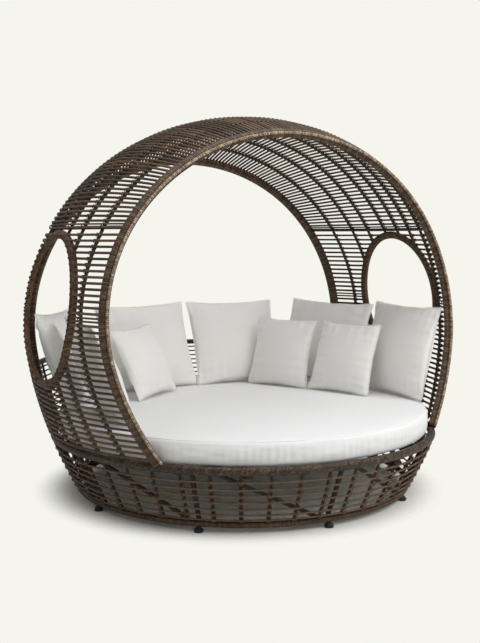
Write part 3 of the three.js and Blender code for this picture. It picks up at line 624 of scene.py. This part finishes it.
for part_name, (climbs, shares, span) in PANELS.items():
    name = "canopy_" + part_name
    weave, knots, edging = Weave(), Weave(), Weave()
    strands(weave, knots, climbs, shares)
    weave.piece(name + "_strands", strand_look, [name])
    if knots.count:
        knots.piece(name + "_knots", knot_look)
    for edge in (0, 1):
        if edge in shares:
            band(edging, *span, edge)
    edging.piece(name + "_band", band_look)


# Canopy ribs, lashings, arches and beads

RIB_SECTION = circle(0.0088, 10, STRAND + 0.0078, ROW_SQUASH)
CROSS_TUBE_SECTION = circle(0.009, 10, 0.0231)
CROSS_TUBE_INSET = 0.0541
ARCH_SECTION = rounded(0.0004, BUNDLE_DEEP, BUNDLE, 0.011, 4)
BEAD_SECTION = circle(BEAD / 2, 14, BEAD_DEPTH)

# The climb at which the ribs beside a window end, and how deep the arches and beads reach into the seat ring
SIDE_RIB_TOP = 1.011
ARCH_FOOT = 0.012
BEAD_FOOT = 0.001


def rib(weave, share, first, last, low_only=False):
    """A rib between two climbs, broken at the windows."""
    dense = canopy(np.linspace(first, last, 900), share, BAND_INSET)
    keep = ~in_window(dense)
    if low_only:
        keep &= dense[:, 2] <= WINDOW_Z
    for a, b in runs(keep):
        part = spaced(dense[a:b], ROW_STEP, least=6)
        weave.sweep(part, shell_normal(part), RIB_SECTION)


def crosses_window(share):
    return bool(in_window(canopy(np.array([climb_at(WINDOW_Z)]), share, BAND_INSET))[0])


full_shares = [share for share in RIB_SHARES if not crosses_window(share)]
broken_shares = [share for share in RIB_SHARES if crosses_window(share)]
weave = Weave()
for share in RIB_SHARES:
    reach = 1.0 if share in full_shares else climb_at(WINDOW_Z)
    rib(weave, share, reach, -reach)
for side in (1, -1):
    path = resample(canopy(side, np.linspace(0, 1, 60), CROSS_TUBE_INSET), 30)
    weave.sweep(path, shell_normal(path), CROSS_TUBE_SECTION)
weave.piece("canopy_long_ribs", rib_look, ["canopy_ribs"])
for side, word in ((-1, "left"), (1, "right")):
    for count, share in enumerate(full_shares):
        weave = Weave()
        rib(weave, share, side * SEAT_CLIMB, side * SIDE_RIB_TOP)
        node = f"{word}_side_rib_{count + 1}"
        weave.piece(node + "_wound", rib_look, [node])

knots = Weave()
rows = np.array(sorted([*SIDE_ROWS, *TOP_ROWS, *mirrored(SIDE_ROWS)]))
for share in RIB_SHARES:
    at = canopy(rows, share, BAND_INSET)
    along = unit(canopy(rows + 0.01, share, BAND_INSET) - at)
    across = unit(canopy(rows, share + 0.01, BAND_INSET) - at)
    normals = shell_normal(at)
    keep = ~in_window(at)
    for p, out, t, s in zip(at[keep], normals[keep], along[keep], across[keep]):
        for way in (1, -1):
            lash(knots, p, out, t + s * way, CANOPY_LASH)
knots.piece("canopy_lashings", lash_look)


def along_edge(edge, inset, foot, places):
    """The line of one edge of the canopy, from seat ring to seat ring over the crown."""
    climb = climb_at(foot)
    return resample(canopy(np.linspace(climb, -climb, 900), edge, inset), places)


for name, edge in (("front", 0), ("back", 1)):
    path = along_edge(edge, BUNDLE_INSET, RIM_TOP - ARCH_FOOT, 220)
    tube(name + "_arch_bundle", bundle_look, name + "_arch", path, shell_normal(path), ARCH_SECTION)
    path = along_edge(edge, BEAD_INSET, RIM_TOP - BEAD_FOOT, 260)
    # Only the front bead is painted pale, as a painted highlight; the back bead keeps the bundle's brown
    look, slot = (front_bead_highlight_look, "wicker_light") if edge == 0 else (bundle_look, "wicker")
    tube(name + "_bead_wound", look, name + "_bead", path, shell_normal(path), BEAD_SECTION, slot)


# Side windows

WINDOW_SECTION = rounded(0.0006, 0.0220, WINDOW_BAND - 0.007, 0.010, 4)

# The flat strand wound round a window's ring: its spacing, slant and thickness, and where it runs
WRAP_STEP = 0.0118
WRAP_SLANT = 0.008
WRAP_THICK = 0.0020
WRAP_SIDE = WINDOW_BAND / 2 - 0.0022
WRAP_OVER = 0.0010
WRAP_UNDER = 0.0234


def wraps(weave, centre, normals):
    """Slanting turns of flat strand round the ring of a window."""
    tangent = tangents(centre, True)
    across = np.cross(tangent, normals)
    pitch = np.linalg.norm(centre[1] - centre[0])
    turn = full_turn(16)
    sideways = WRAP_SIDE * np.sign(np.sin(turn)) * np.abs(np.sin(turn)) ** 0.75
    rise = (WRAP_OVER + WRAP_UNDER) / 2 * np.sign(np.cos(turn)) * np.abs(np.cos(turn)) ** 0.6
    rise += (WRAP_OVER - WRAP_UNDER) / 2
    half = pitch * 0.49
    flat = [(WRAP_THICK, 0), (WRAP_THICK * 0.2, half), (-WRAP_THICK, 0), (WRAP_THICK * 0.2, -half)]
    for i in range(len(centre)):
        loop = (centre[i] + normals[i] * rise[:, None] + across[i] * sideways[:, None]
                + tangent[i] * (WRAP_SLANT * np.sin(turn))[:, None])
        out = across[i] * np.sin(turn)[:, None] + normals[i] * np.cos(turn)[:, None]
        weave.sweep(loop, out, flat, closed=True)


for side, name in ((-1, "left_window_ring"), (1, "right_window_ring")):
    turn = full_turn(720)
    y = (WINDOW_WIDE + WINDOW_BAND / 2) * np.cos(turn)
    z = WINDOW_Z + (WINDOW_HIGH + WINDOW_BAND / 2) * np.sin(turn)
    dense = np.stack([side * np.sqrt(shell_radius(z) ** 2 - y ** 2), side * y, z], 1)
    path = resample(dense, 140, closed=True)
    weave = Weave()
    weave.sweep(path, shell_normal(path), WINDOW_SECTION, closed=True)
    centre = spaced(dense, WRAP_STEP, closed=True)
    wraps(weave, centre, shell_normal(centre))
    for share in broken_shares:
        rib(weave, share, side * SEAT_CLIMB, side * climb_at(WINDOW_Z), low_only=True)
    weave.piece(name + "_wound", ring_wrap_look, [name])


# Basket

ROD_SECTION = circle(0.0076, 8, STRAND + 0.0062, 0.82)
STOUT_SECTION = circle(0.012, 12, 0.0306)


def level(z, radius, count):
    """A level ring of places, from the front round."""
    turn = full_turn(count) - math.pi / 2
    return np.stack([radius * np.cos(turn), radius * np.sin(turn), np.full(count, z)], 1)


def upright(weave, turn, low, high, section):
    """A rod that climbs the shell at one angle round it."""
    z = np.linspace(low, high, 9)
    r = shell_radius(z)
    path = np.stack([r * math.cos(turn), r * math.sin(turn), z], 1)
    weave.sweep(path, shell_normal(path), section)


def crossing(turn, height):
    """Where a rod meets a ring: the place, and the ways outwards, up the rod and along the ring."""
    r = float(shell_radius(height))
    place = np.array([r * math.cos(turn), r * math.sin(turn), height])
    out = shell_normal(place[None])[0]
    along = np.array([-math.sin(turn), math.cos(turn), 0])
    return place, out, np.cross(out, along), along


path = level(RIM, float(shell_radius(RIM)) - RIM_TUBE / 2, 276)
tube("seat_ring_wound", rim_look, "seat_ring", path, outwards(path), circle(RIM_TUBE / 2, 18),
     "wicker_light", closed=True)
path = level(FOOT_RING, float(shell_radius(FOOT_RING)) - FOOT_TUBE / 2, 230)
tube("foot_ring_wound", foot_ring_look, "basket_cage", path, outwards(path), circle(FOOT_TUBE / 2, 14),
     closed=True)

weave, knots = Weave(), Weave()
rod_turns = full_turn(RODS) - math.pi / 2
ring_heights = [lerp(RING_BASE, RIM, share) for share in RING_SHARES]
for turn in rod_turns:
    upright(weave, turn, FOOT_RING + 0.004, ROD_END, ROD_SECTION)
    for height in ring_heights:
        p, out, up, along = crossing(turn, height)
        for way in (1, -1):
            lash(knots, p, out, up + along * way, BASKET_LASH)
for foot in range(FEET):
    upright(weave, math.radians(FIRST_FOOT + 360 / FEET * foot), FOOT_RING + 0.008, ROD_END, STOUT_SECTION)
weave.piece("basket_rods", rib_look)
knots.piece("basket_lashings", cross_look, slot="wicker_light")
for k, height in enumerate(ring_heights):
    path = level(height, float(shell_radius(height)), 184)
    tube(f"basket_strand_{k + 1}", ring_look, f"basket_ring_{k + 1}", path, shell_normal(path),
         circle(STRAND / 2, 8, STRAND / 2), closed=True)


# Low back

def back_turn(z):
    """The angle round the shell at which the low back meets the back arch."""
    return math.asin((float(edge_depth(BACK_EDGE, z)) + BACK_GAP) / float(shell_radius(z)))


def back_level(z, spacing):
    start = back_turn(z)
    r = float(shell_radius(z))
    turn = np.linspace(start, math.pi - start, int((math.pi - 2 * start) * r / spacing))
    return np.stack([r * np.cos(turn), r * np.sin(turn), np.full(len(turn), z)], 1)


path = back_level(BACK_RAIL, 0.03)
section = circle(BACK_RAIL_TUBE / 2, 14, BACK_RAIL_TUBE / 2)
tube("back_rail_wound", rim_look, "back_rail", path, shell_normal(path), section)
weave, posts, knots = Weave(), Weave(), Weave()
back_rods = [t for t in rod_turns if back_turn(RIM_TOP) < t < math.pi - back_turn(RIM_TOP)]
back_heights = np.arange(FIRST_ROW, BACK_RAIL - 0.024, PITCH)
for height in back_heights:
    path = back_level(height, 0.05)
    weave.sweep(path, shell_normal(path), circle(STRAND / 2, 6, STRAND / 2))
for turn in back_rods:
    upright(posts, turn, RIM_TOP + 0.0005, BACK_RAIL - 0.012, ROD_SECTION)
    for height in back_heights:
        p, out, up, along = crossing(turn, height)
        lash(knots, p, out, up + along, BACK_LASH)
weave.piece("back_strands", strand_look, ["back_rows"])
posts.piece("back_rods", rib_look)
knots.piece("back_lashings", lash_look)

# Solids that are shown as they are

SHOWN_SOLIDS = (("foot_", glide_look), ("brace_", frame_look), ("deck_frame", frame_look))
for name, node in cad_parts.items():
    for beginning, look in SHOWN_SOLIDS:
        if name.startswith(beginning):
            node.data.materials.clear()
            node.data.materials.append(look)


# Mattress

# Places round the cover, its length round in the UV map, where the fine pleats are, and the wrinkles' heights
MATTRESS_SIDES = 720
MATTRESS_ROUND = 6.2
PLEATS_TURN = math.radians(-98)
FINE_PUSH = 0.0008
BROAD_PUSH = 0.0014
PHASE_PUSH = 0.0008
GREATEST_PUSH = 0.0035
SEAM_RADIUS = 0.0022


def smooth_noise(count, waves, seed):
    """A closed curve of random waves, mean 0 and about 1 high."""
    r = np.random.default_rng(seed)
    turn = full_turn(count)
    total = np.zeros(count)
    for wave in waves:
        total += r.normal() * np.sin(wave * turn + r.uniform(0, 2 * math.pi))
    return total / math.sqrt(len(waves) / 2)


def mattress_profile():
    """Rows of (radius, height, wrinkle), from the middle of the underside to the middle of the top."""
    low, high = MATTRESS_LOW, MATTRESS_HIGH - 0.010
    # Underside
    rows = [(radius, low, 0) for radius in (0.0, 0.3, 0.6, 0.85, 0.935)]
    # Lower edge
    for turn in np.radians(np.linspace(-80, -10, 6)):
        radius = MATTRESS_R - 0.022 + 0.018 * math.cos(turn)
        rows.append((radius, low + 0.020 + 0.020 * math.sin(turn), 0.4))
    # Side
    for z in np.linspace(low + 0.030, high - 0.030, 8):
        belly = math.sin((z - low) / (high - low) * math.pi)
        rows.append((MATTRESS_R - 0.007 + 0.006 * belly, z, 1))
    # Upper edge
    for turn in np.radians(np.linspace(8, 82, 8)):
        radius = MATTRESS_R - 0.030 + 0.025 * math.cos(turn)
        rows.append((radius, high - 0.024 + 0.024 * math.sin(turn), 0.5))
    # Top
    for radius in (0.93, 0.88, 0.80, 0.70, 0.58, 0.44, 0.28, 0.12, 0.0):
        share = min(radius / 0.966, 1)
        rows.append((radius, MATTRESS_HIGH - 0.008 + 0.0075 * (1 - share ** 4), 0.15))
    return np.array(rows)


def mattress():
    """The boxed cover, gently wrinkled all round, with finer pleats at the front."""
    sides = MATTRESS_SIDES
    profile = mattress_profile()
    turn = full_turn(sides)
    fine = smooth_noise(sides, range(90, 190, 7), 11)
    fine *= 0.15 + 1.1 * np.clip(np.cos(turn - PLEATS_TURN), 0, 1) ** 5
    broad = smooth_noise(sides, range(4, 24, 2), 12)
    verts, faces, uvs = [], [], []
    for row, (radius, z, wrinkle) in enumerate(profile):
        phase = smooth_noise(sides, range(8, 40, 3), 20 + row // 3)
        push = wrinkle * (FINE_PUSH * fine + BROAD_PUSH * broad + PHASE_PUSH * phase)
        r = np.maximum(radius + np.minimum(push, GREATEST_PUSH), 0)
        lift = 0.0009 * wrinkle * broad if radius > 0.9 else 0
        verts.append(np.stack([r * np.cos(turn), r * np.sin(turn), np.full(sides, z) + lift], 1))
    along = distances(profile[:, :2])
    for i in range(len(profile) - 1):
        for j in range(sides):
            k = (j + 1) % sides
            faces.append((i * sides + j, i * sides + k, (i + 1) * sides + k, (i + 1) * sides + j))
            a, b = j / sides * MATTRESS_ROUND, (j + 1) / sides * MATTRESS_ROUND
            uvs.append([(a, along[i]), (b, along[i]), (b, along[i + 1]), (a, along[i + 1])])
    weave = Weave()
    weave.add(np.vstack(verts), faces, uvs)
    obj = weave.piece("mattress_cover", mattress_look, ["mattress"], "canvas")
    bm = bmesh.new()
    bm.from_mesh(obj.data)
    bmesh.ops.remove_doubles(bm, verts=bm.verts, dist=0.00005)
    bm.to_mesh(obj.data)
    bm.free()


mattress()
weave = Weave()
for z, inset in ((MATTRESS_HIGH - 0.0135, 0.0170), (MATTRESS_LOW + 0.012, 0.0128)):
    path = level(z, MATTRESS_R - inset, 320)
    weave.sweep(path, outwards(path), circle(SEAM_RADIUS, 8), closed=True)
weave.piece("mattress_seams", mattress_look, slot="canvas")


# Cushions

# Fitted form: how far the sides draw in at mid length and how far from the seams the gathers lie, as shares,
# how high the gathers rise, and how full the cover is toward its corners
DRAWN_IN = 0.038
GATHER_REACH = 0.15
FOLD_LIFT = 0.0045
FULLNESS = 0.44

# Cloth: the first dome and unevenness as shares of thickness and side, the frames run, the share of the
# simulated move that is taken, and the distance that the move nears but never passes
FIRST_DOME = 0.02
UNEVEN = 0.0018
CLOTH_FRAMES = 26
CLOTH_SHARE = 0.6
CLOTH_REACH = 0.030

# How much a cover sags to its foot, and its height over the solid's lowest place
SAG = 0.10
FOOT_GAP = 0.0016


def sheet_grid(cells, width, height, puff):
    """Two square layers sewn round the edge, slightly domed: points, faces, UVs and the seam loop."""
    verts, faces, uvs, index = [], [], [], {}
    border = (0, cells)

    def key(i, j, layer):
        return i, j, 0 if i in border or j in border else layer

    for layer in (1, -1):
        for i in range(cells + 1):
            for j in range(cells + 1):
                spot = key(i, j, layer)
                if spot in index:
                    continue
                index[spot] = len(verts)
                u, v = 2 * i / cells - 1, 2 * j / cells - 1
                dome = spot[2] * puff * ((1 - u * u) * (1 - v * v)) ** 0.5
                verts.append((u * width / 2, dome, v * height / 2))
        for i in range(cells):
            for j in range(cells):
                quad = [(i, j), (i + 1, j), (i + 1, j + 1), (i, j + 1)][::layer]
                faces.append(tuple(index[key(a, b, layer)] for a, b in quad))
                uvs.append([(a / cells * width, b / cells * height) for a, b in quad])
    seam = ([(i, 0) for i in range(cells)] + [(cells, j) for j in range(cells)]
            + [(i, cells) for i in range(cells, 0, -1)] + [(0, j) for j in range(cells, 0, -1)])
    return np.array(verts), faces, uvs, [index[(i, j, 0)] for i, j in seam]


def gathers(share, other, seed):
    """How far soft folds lift the cloth beside one pair of seams, from -1 to 1."""
    r = np.random.default_rng(seed)
    waves = [r.uniform(0.5, 1) * np.sin(k * math.pi * other + r.uniform(0, 2 * math.pi))
             for k in (3.1, 5.3, 7.9, 11.2)]
    away = (1 - np.abs(share)) / GATHER_REACH
    return sum(waves) / 2 * away * np.exp(1 - away) * (0.30 + 0.70 * other ** 2)


def simulated(points, faces):
    """The cover after a short run of cloth under pressure."""
    mesh = bpy.data.meshes.new("cover")
    mesh.from_pydata(points.tolist(), [], faces)
    obj = bpy.data.objects.new("cover", mesh)
    scene.collection.objects.link(obj)
    cloth = obj.modifiers.new("Cloth", "CLOTH")
    settings = cloth.settings
    settings.quality = 8
    settings.mass = 0.3
    settings.tension_stiffness = 15
    settings.compression_stiffness = 15
    settings.shear_stiffness = 5
    settings.bending_stiffness = 0.5
    settings.use_pressure = True
    settings.uniform_pressure_force = 1.0
    settings.effector_weights.gravity = 0
    cloth.collision_settings.use_self_collision = False
    cloth.point_cache.frame_start, cloth.point_cache.frame_end = 1, CLOTH_FRAMES
    for step in range(1, CLOTH_FRAMES + 1):
        scene.frame_set(step)
    evaluated = obj.evaluated_get(bpy.context.evaluated_depsgraph_get())
    result = np.array([v.co for v in evaluated.to_mesh().vertices])
    evaluated.to_mesh_clear()
    scene.frame_set(1)
    bpy.data.objects.remove(obj)
    bpy.data.meshes.remove(mesh)
    return result


def inflated(cells, side, thickness, seed):
    """A cushion's cover, blown up as cloth. Returns points, faces, UVs and the seam loop."""
    flat, faces, uvs, seam = sheet_grid(cells, side, side, thickness * FIRST_DOME)
    u, v, face = flat[:, 0] * 2 / side, flat[:, 2] * 2 / side, np.sign(flat[:, 1])
    swell = np.clip((1 - u ** 2) * (1 - v ** 2), 0, 1) ** FULLNESS
    both = gathers(u, v, seed) + gathers(v, u, seed + 1)
    opposed = gathers(u, v, seed + 2) + gathers(v, u, seed + 3)
    fold = both + face * opposed
    goal = np.stack([flat[:, 0] * (1 - DRAWN_IN * (1 - v ** 2)),
                     face * (thickness / 2 * swell + FOLD_LIFT * fold),
                     flat[:, 2] * (1 - DRAWN_IN * (1 - u ** 2))], 1)
    r = np.random.default_rng(seed)
    move = simulated(flat + r.normal(0, side * UNEVEN, flat.shape), faces) - goal
    far = np.linalg.norm(move, axis=1, keepdims=True)
    return goal + CLOTH_SHARE * move / np.sqrt(1 + (far / CLOTH_REACH) ** 2), faces, uvs, seam


def fitted(points, width, height, thickness):
    """Scaled about the middle so that the cover has these outside sizes."""
    low, high = points.min(0), points.max(0)
    return (points - (low + high) / 2) / (high - low) * [width, thickness, height]


COVERS = {
    "large_a": inflated(44, 0.55, 0.17, 3),
    "large_b": inflated(44, 0.55, 0.17, 9),
    "small": inflated(36, 0.41, 0.13, 5),
}

# Each cushion: cover, x, y, the way it faces, how far its top leans back, roll, width, height, thickness,
# and quarter turns of the cover in its own plane
CUSHIONS = {
    "cushion_left_front": ("large_a", -0.8594, -0.0495, -8, 22, 0, 0.579, 0.524, 0.160, 0),
    "cushion_left_back": ("large_b", -0.8306, 0.4158, -38, 20, 1.0, 0.582, 0.524, 0.160, 1),
    "cushion_back_left": ("large_a", -0.2555, 0.6832, -88, 22, -0.8, 0.592, 0.524, 0.162, 2),
    "cushion_back_right": ("large_b", 0.3317, 0.6515, -96, 22, 0, 0.579, 0.524, 0.162, 0),
    "cushion_right_back": ("large_a", 0.8208, 0.3990, -158, 23, 1.5, 0.592, 0.524, 0.160, 3),
    "cushion_right_front": ("large_b", 0.9010, -0.2257, -182, 14, 0, 0.579, 0.524, 0.160, 2),
    "small_cushion_left": ("small", -0.3861, 0.4257, -57, 25.7, -1.5, 0.412, 0.418, 0.124, 0),
    "small_cushion_middle": ("small", 0.4841, 0.3456, -155, 18, 0, 0.410, 0.418, 0.124, 1),
    "small_cushion_right": ("small", 0.6574, -0.0387, -161, 19, 0.6, 0.410, 0.418, 0.124, 2),
}


def subdivide(obj):
    """One smooth subdivision, made part of the mesh."""
    modifier = obj.modifiers.new("Subdivision", "SUBSURF")
    modifier.levels = modifier.render_levels = 1
    mesh = bpy.data.meshes.new_from_object(obj.evaluated_get(bpy.context.evaluated_depsgraph_get()))
    obj.modifiers.clear()
    obj.data = mesh


def rotation(facing, lean, roll):
    turn = (Matrix.Rotation(math.radians(facing + 90), 4, "Z")
            @ Matrix.Rotation(-math.radians(lean), 4, "X")
            @ Matrix.Rotation(math.radians(roll), 4, "Y"))
    return np.array(turn)[:3, :3]


def cushion(name, cover, x, y, facing, lean, roll, width, height, thickness, turns):
    points, faces, uvs, seam = COVERS[cover]
    for _ in range(turns):
        points = np.stack([-points[:, 2], points[:, 1], points[:, 0]], 1)
    points = fitted(points, width, height, thickness)
    u, v = points[:, 0] / width * 2, points[:, 2] / height * 2
    points[:, 1] += points[:, 1] * (SAG * -v) * np.clip(1 - u ** 2, 0, 1)
    world = points @ rotation(facing, lean, roll).T
    low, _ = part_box(name)
    world += np.array([x, y, 0]) + SHIFT
    world[:, 2] += low[2] + FOOT_GAP - world[:, 2].min()
    weave = Weave()
    weave.add(world, faces, uvs)
    path = resample(world[seam], len(seam), closed=True)
    weave.sweep(path, unit(path - world.mean(0)), circle(SEAM_RADIUS, 6), closed=True)
    obj = weave.piece(name + "_cover", cushion_look, [name], "canvas", body=name, shift=0)
    subdivide(obj)


for name, values in CUSHIONS.items():
    cushion(name, *values)

# Floor: it catches the shadow and fades out, for the camera alone, into the backdrop

BACKDROP = colour(245, 245, 238)
FLOOR_RADIUS = 9.0
FLOOR_DROP = 0.0005
FADE_BEGIN = 0.88
FADE_END = 1.13

bpy.ops.mesh.primitive_circle_add(vertices=96, radius=FLOOR_RADIUS, fill_type="NGON",
                                  location=(0, 0, -FLOOR_DROP))
floor = bpy.context.object
floor.name = "floor"
n = Nodes("floor_paper")
away = n.node("ShaderNodeVectorMath", {0: n.place()}, operation="LENGTH").outputs["Value"]
fade = n.node("ShaderNodeMapRange", {"Value": away, "From Min": FADE_BEGIN, "From Max": FADE_END},
              interpolation_type="SMOOTHSTEP").outputs["Result"]
camera_ray = n.node("ShaderNodeLightPath").outputs["Is Camera Ray"]
n.set(Roughness=0.95, Specular_IOR_Level=0.0, Base_Color=(*colour(240, 240, 234), 1))
clear = n.node("ShaderNodeBsdfTransparent")
share = n.math("MULTIPLY", fade, camera_ray)
mixer = n.node("ShaderNodeMixShader", {0: share, 1: n.shader.outputs[0], 2: clear.outputs[0]})
n.put(n.tree.nodes["Material Output"].inputs["Surface"], mixer.outputs[0])
floor.data.materials.append(n.material)

# World: soft white light, shown to the camera as the backdrop

WORLD_STRENGTH = 0.39

world = bpy.data.worlds.new("studio")
scene.world = world
world.use_nodes = True
tree = world.node_tree
soft = tree.nodes["Background"]
soft.inputs["Color"].default_value = (*colour(250, 250, 250), 1)
soft.inputs["Strength"].default_value = WORLD_STRENGTH
shown = tree.nodes.new("ShaderNodeBackground")
shown.inputs["Color"].default_value = (*BACKDROP, 1)
rays = tree.nodes.new("ShaderNodeLightPath")
mixer = tree.nodes.new("ShaderNodeMixShader")
tree.links.new(rays.outputs["Is Camera Ray"], mixer.inputs[0])
tree.links.new(soft.outputs[0], mixer.inputs[1])
tree.links.new(shown.outputs[0], mixer.inputs[2])
tree.links.new(mixer.outputs[0], tree.nodes["World Output"].inputs["Surface"])

# Lamps and camera; the camera looks down and to the right by these angles in degrees

CAMERA_PLACE = (-2.548, -4.261, 1.3385)
CAMERA_DOWN = 5.22
CAMERA_RIGHT = 30.7106


def area_light(name, place, target, size, power):
    data = bpy.data.lights.new(name, "AREA")
    data.shape = "SQUARE"
    data.size = size
    data.energy = power
    lamp = bpy.data.objects.new(name, data)
    lamp.location = place
    lamp.rotation_euler = (Vector(target) - Vector(place)).to_track_quat("-Z", "Y").to_euler()
    scene.collection.objects.link(lamp)


area_light("top_light", (-0.2, -0.6, 4.9), (0, 0, 0.5), size=3.8, power=126)
area_light("key_light", (2.9, -4.4, 4.0), (0, 0, 0.7), size=3.2, power=156)
area_light("fill_light", (-1.8, -5.0, 4.0), (0, 0, 0.6), size=3.0, power=24)

camera = bpy.data.objects.new("camera", bpy.data.cameras.new("camera"))
scene.collection.objects.link(camera)
camera.location = np.array(CAMERA_PLACE) + SHIFT
camera.rotation_euler = (math.radians(90 - CAMERA_DOWN), 0, math.radians(-CAMERA_RIGHT))
camera.data.lens = 51.65
camera.data.sensor_width = 36
scene.camera = camera
scene.view_settings.view_transform = "Standard"

bpy.context.view_layer.update()
